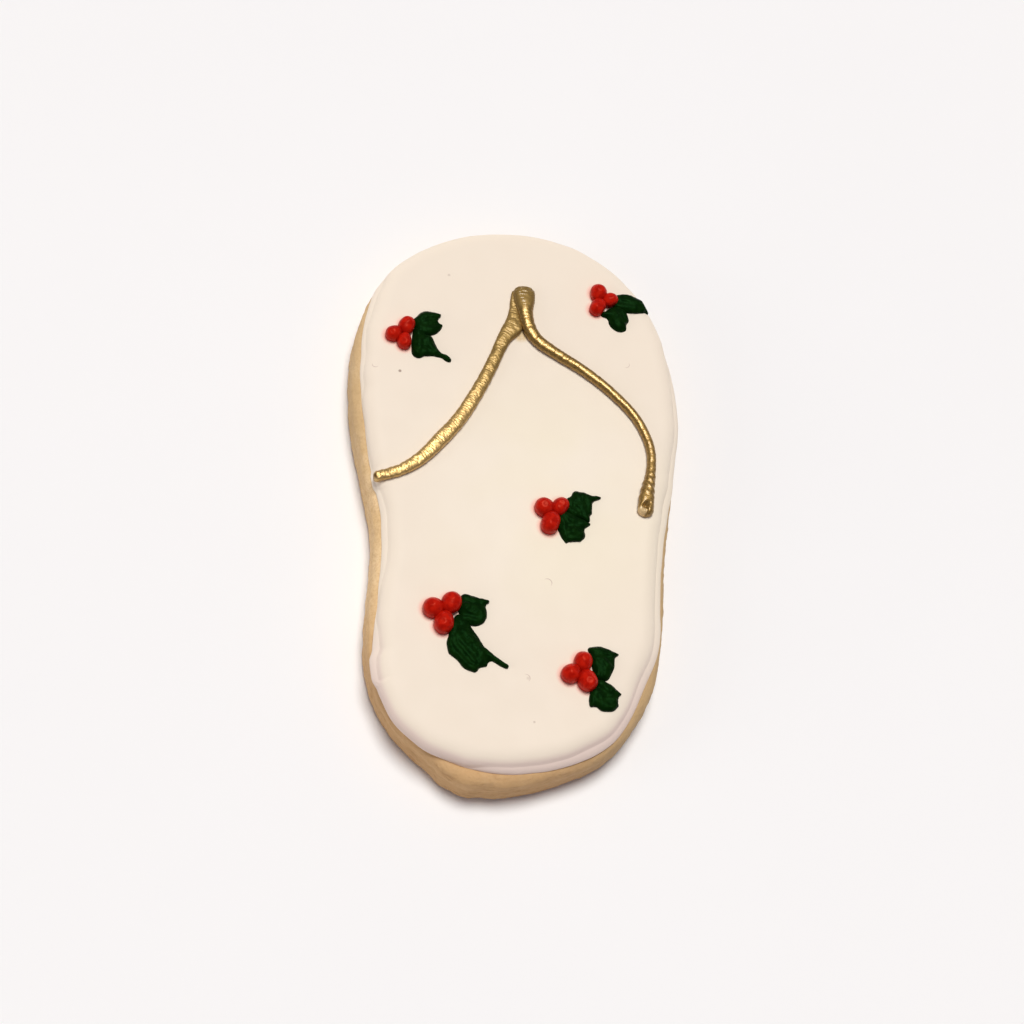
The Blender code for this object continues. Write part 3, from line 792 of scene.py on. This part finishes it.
def make_berry(sprig, name, seed):
    """A piped ball, pressed against its neighbours and lightly dimpled where the tip left it."""
    centre, radius = berry_ball(sprig + name)
    tilts = np.linspace(math.pi - 0.01, 0.01, BERRY_ROWS)
    turns = 2 * math.pi * np.arange(BERRY_COLUMNS) / BERRY_COLUMNS
    tilt, turn = np.meshgrid(tilts, turns, indexing="ij")
    girth = np.where(tilt > math.pi / 2, np.sin(tilt) ** 0.3, np.sin(tilt))
    ways = np.stack((girth * np.cos(turn), girth * np.sin(turn), np.cos(tilt)), -1)
    ways = ways.reshape(-1, 3)
    reach = np.full(len(ways), radius)
    for other in BERRIES:
        place, width = berry_ball(sprig + other)
        gap = np.linalg.norm(place - centre)
        if other != name:
            toward = np.clip(ways @ ((place - centre) / gap), 0, 1)
            reach += max(0.0, (gap - radius - width) / 2 + 0.12) * toward**3
    chance = np.random.default_rng(SEED + seed)
    lean_to = np.array((*chance.uniform(-0.35, 0.35, 2), 1.0))
    gap = np.arccos(np.clip(ways @ lean_to / np.linalg.norm(lean_to), -1, 1)) * radius
    reach += 0.04 * np.exp(-(((gap - 0.6) / 0.28) ** 2)) - 0.08 * np.exp(-((gap / 0.42) ** 2))
    reach += 0.04 * ripple(ways * radius, 1.1, seed)
    points = centre + ways * reach[:, None]
    return loft(sprig + name + "_piped", points.reshape(BERRY_ROWS, BERRY_COLUMNS, 3))


def stroke_beads(stroke):
    """Close steps along a stroke, as rows x, y, radius."""
    stroke = np.array(stroke)
    stroke[:, 2] = LEAF_SWELL * stroke[:, 2] + LEAF_CLOSING
    length = np.linalg.norm(np.diff(stroke[:, :2], axis=0), axis=1).sum()
    beads = even(stroke, max(3, int(length / LEAF_BEAD_STEP)), closed=False)
    return blur(beads, 1.5, closed=False) if len(beads) > 8 else beads


def make_leaf(node, surface, seed):
    """A leaf of soft pulled icing: strokes of beads, melted into one skin."""
    (x, y, _), _ = solid_box(node)
    bm = bmesh.new()
    for stroke in LEAF_STROKES[node]:
        for dx, dy, radius in stroke_beads(stroke):
            height = LEAF_CLOSING + 0.5 + 0.35 * (radius - LEAF_CLOSING)
            place = Vector((x + dx, y + dy, surface.top(x + dx, y + dy, 8.0)))
            size = Matrix.Diagonal((radius, radius, height, 1.0))
            matrix = Matrix.Scale(MM, 4) @ Matrix.Translation(place) @ size
            bmesh.ops.create_icosphere(bm, subdivisions=3, radius=1.0, matrix=matrix)
    mesh = bpy.data.meshes.new(node + "_strokes")
    bm.to_mesh(mesh)
    bm.free()
    item = bpy.data.objects.new(node + "_piped", mesh)
    bpy.context.scene.collection.objects.link(item)
    melt = item.modifiers.new("melt", "REMESH")
    melt.mode = "VOXEL"
    melt.voxel_size = LEAF_VOXEL * MM
    draw_in = item.modifiers.new("draw_in", "DISPLACE")
    draw_in.mid_level = 0.0
    draw_in.strength = -LEAF_CLOSING * MM
    soften = item.modifiers.new("soften", "SMOOTH")
    soften.iterations = LEAF_SMOOTHING
    graph = bpy.context.evaluated_depsgraph_get()
    item.data = bpy.data.meshes.new_from_object(item.evaluated_get(graph))
    item.modifiers.clear()
    bpy.data.meshes.remove(mesh)
    points = np.array([vert.co for vert in item.data.vertices]) / MM
    normals = np.array([vert.normal for vert in item.data.vertices])
    push = 0.06 * ripple(points, 1.0, seed) + 0.03 * ripple(points, 0.45, seed + 50)
    points += normals * (push * smoothstep(-0.1, 0.6, normals[:, 2]))[:, None]
    floor = surface.top(x, y) - LEAF_SINK
    points[:, 2] = np.maximum(points[:, 2], floor - 1.5 * smoothstep(20.0, 24.0, points[:, 0]))
    item.data.vertices.foreach_set("co", (points * MM).ravel())
    item.data.shade_smooth()
    return item


# ---------------------------------------------------------------- room

CAMERA_AZIMUTH = -20.32
CAMERA_ELEVATION = 62.0
CAMERA_ROLL = 24.0
CAMERA_DISTANCE = 350.28
CAMERA_AIM = (0.04, -2.28, 4.0)
CAMERA_LENS = 74.55


def direction(azimuth, elevation):
    """The unit vector from the cookie towards a place in the room. Azimuth 0 is towards -Y."""
    a, e = math.radians(azimuth), math.radians(elevation)
    return Vector((math.sin(a) * math.cos(e), -math.cos(a) * math.cos(e), math.sin(e)))


def place_object(name, data, azimuth, elevation, distance, aim, roll=0.0):
    """An object at a distance from its aim, in millimetres, looking at it along its own -Z."""
    item = bpy.data.objects.new(name, data)
    back = direction(azimuth, elevation)
    turn = back.to_track_quat("Z", "Y").to_matrix().to_4x4()
    turn = turn @ Matrix.Rotation(math.radians(roll), 4, "Z")
    item.matrix_world = Matrix.Translation((Vector(aim) + back * distance) * MM) @ turn
    bpy.context.scene.collection.objects.link(item)
    return item


def make_camera():
    camera = bpy.data.cameras.new("camera")
    camera.lens = CAMERA_LENS
    camera.clip_start = 0.01
    placed = place_object(
        "camera", camera, CAMERA_AZIMUTH, CAMERA_ELEVATION, CAMERA_DISTANCE, CAMERA_AIM, CAMERA_ROLL
    )
    bpy.context.scene.camera = placed


# name: azimuth, elevation, width in degrees, strength, colour
LIGHTS = {
    "overhead": (177, 75, 27, 2.57, (0.995, 0.99, 0.965)),
    "left": (-74, 16, 31, 0.45, (1.0, 0.97, 0.92)),
}
LIGHT_DISTANCE = 900.0
ROOM = (0.166, 0.15, 0.176, 1.0)
ROOM_FLOOR_LINE = (0.84, 0.82, 0.83, 1.0)
ROOM_FADE = (3.0, 9.0)  # degrees above the floor line over which the pale walls darken


def make_lights():
    for name, (azimuth, elevation, width, strength, tint) in LIGHTS.items():
        lamp = bpy.data.lights.new(name, "SUN")
        lamp.angle = math.radians(width)
        lamp.energy = strength
        lamp.color = tint
        placed = place_object(name, lamp, azimuth, elevation, LIGHT_DISTANCE, (0.0, 0.0, 0.0))
        placed.visible_glossy = name == "overhead"
    world = bpy.data.worlds.new("room")
    world.use_nodes = True
    tree = world.node_tree
    way = tree.nodes.new("ShaderNodeTexCoord")
    parts = tree.nodes.new("ShaderNodeSeparateXYZ")
    fade = tree.nodes.new("ShaderNodeMapRange")
    mix = tree.nodes.new("ShaderNodeMix")
    mix.data_type = "RGBA"
    for socket, angle in zip(("From Min", "From Max"), ROOM_FADE):
        fade.inputs[socket].default_value = math.sin(math.radians(angle))
    mix.inputs[6].default_value = ROOM_FLOOR_LINE
    mix.inputs[7].default_value = ROOM
    tree.links.new(way.outputs["Generated"], parts.inputs[0])
    tree.links.new(parts.outputs["Z"], fade.inputs["Value"])
    tree.links.new(fade.outputs["Result"], mix.inputs[0])
    tree.links.new(mix.outputs[2], tree.nodes["Background"].inputs["Color"])
    bpy.context.scene.world = world


def make_floor():
    shades = Shades("pale_floor")
    shades.finish(
        "Base Color",
        shades.mix(shades.noise(60.0), colour(247, 246, 245), colour(249, 248, 247)),
    )
    shades.finish("Roughness", 0.7)
    floor = make_mesh(
        "floor",
        [(x, y, -0.02) for x, y in ((-2500, -2500), (2500, -2500), (2500, 2500), (-2500, 2500))],
        [(0, 1, 2, 3)],
    )
    floor.data.materials.append(shades.material)


def main():
    bpy.context.scene.view_settings.view_transform = "Standard"
    make_camera()
    make_lights()
    make_floor()
    straps = {node: course(cad_skin(node)) for node in STRAP_FORMS}
    straps["strap_left"] = lean(straps["strap_left"], cad_skin("strap_right"))
    knob = straps["strap_right"][12, :2]
    frayed = straps["strap_right"][-6, :2] + (-0.7, 0.3)
    crotch = straps["strap_right"][110, :2] + (-1.6, -0.3)
    dress(make_biscuit(), biscuit_material(), "biscuit", "biscuit")
    icing = make_icing()
    sprigs = [node.removesuffix("leaf_front") for node in LEAF_STROKES if "front" in node]
    berries = [berry_ball(sprig + name) for sprig in sprigs for name in BERRIES]
    dress(icing, icing_material(crotch, berries), "white_icing", "flood_icing")
    surface = Skin(icing.data)
    low_end = (*straps["strap_left"][-3, :2], 0.1, 0.5, GOLD_DARK_TIP)
    bare = (*frayed, 0.5, 0.5, GOLD_STAIN)
    left_gold = gold_material(
        "gold_flat",
        colour(211, 177, 115),
        colour(181, 147, 84),
        (0.38, 0.44),
        (0.25, 0.25),
        0.8,
        knob,
        low_end,
        0.7,
    )
    # The same gold paint as the flat strap, in darker colours: painted shade on the round strap's steep
    # flanks.
    right_gold = gold_material(
        "gold_round",
        colour(167, 134, 72),
        colour(135, 104, 48),
        (0.46, 0.32),
        (0.5, 0.16),
        0.0,
        knob,
        bare,
        0.15,
    )
    left = make_strap("strap_left", straps["strap_left"], surface, STRAP_FORMS["strap_left"], left_relief)
    right = make_strap(
        "strap_right", straps["strap_right"], surface, STRAP_FORMS["strap_right"], right_relief
    )
    dress(left, left_gold, "gold_icing", "strap_left")
    dress(right, right_gold, "gold_icing", "strap_right")
    red = piped_material(
        "red_piped_icing", colour(190, 26, 10), colour(166, 16, 6), colour(255, 130, 100), 0.34, 0.3
    )
    green = piped_material(
        "green_piped_icing", colour(11, 36, 6), colour(6, 27, 4), colour(90, 190, 100), 0.38, 0.08
    )
    for number, node in enumerate(LEAF_STROKES):
        dress(make_leaf(node, surface, 200 + number), green, "green_icing", node)
    for number, sprig in enumerate(sprigs):
        for place, name in enumerate(BERRIES):
            berry = make_berry(sprig, name, 100 + 20 * number + place)
            dress(berry, red, "red_icing", sprig + name)


main()
